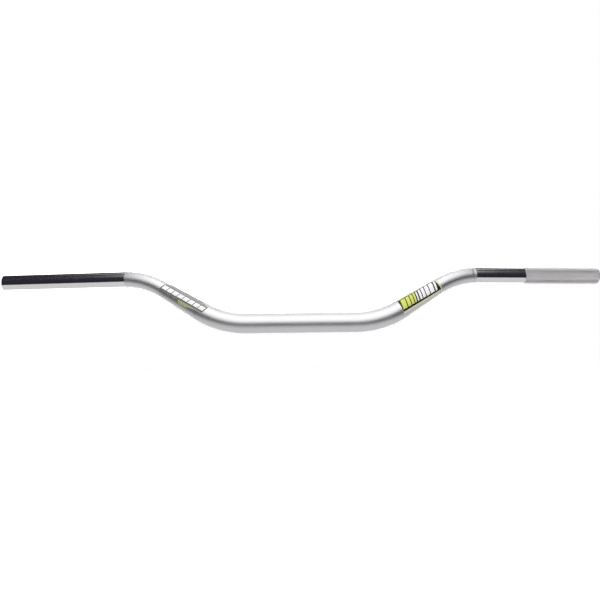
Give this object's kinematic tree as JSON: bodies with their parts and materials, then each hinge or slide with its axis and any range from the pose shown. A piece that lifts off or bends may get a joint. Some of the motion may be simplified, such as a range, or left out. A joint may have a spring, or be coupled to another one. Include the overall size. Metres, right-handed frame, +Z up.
{
  "type": "motorcycle handlebar",
  "caption": "Oversize tapered motocross handlebar in satin aluminium: hollow tube, four bends, no crossbar, knurled clutch-side end and slanted-bar labels on both slopes.",
  "frame": {"origin": "middle of the 28.6 mm clamp zone, on the tube's axis", "axes": "+X along the clamp zone towards the clutch side, which is the rider's left; +Y back towards the rider; +Z up, with the bar leaned back 27 degrees as it is when it lines up with the fork"},
  "size_m": [0.815, 0.115, 0.0839],
  "materials": {
    "satin_aluminium": "shot-peened, clear-anodised satin; the control zones are left smooth and bright, and the clutch-side grip zone is knurled",
    "pale_film": "pale olive printed vinyl, semi-gloss",
    "dark_film": "black printed vinyl, semi-gloss",
    "grey_film": "mid-grey printed vinyl, semi-gloss",
    "lime_ink": "lime-yellow vinyl, semi-gloss",
    "olive_ink": "olive-lime vinyl, semi-gloss",
    "white_ink": "white vinyl, semi-gloss"
  },
  "bodies": {
    "root": {"bar_tube": "satin_aluminium", "label_clutch_border": "pale_film", "label_clutch_panel": "dark_film", "label_clutch_lime_bars": "lime_ink", "label_clutch_white_bars": "white_ink", "label_throttle_shade": "grey_film", "label_throttle_outline": "dark_film", "label_throttle_white_bars": "white_ink", "label_throttle_lime_flash": "olive_ink"}
  },
  "joints": []
}
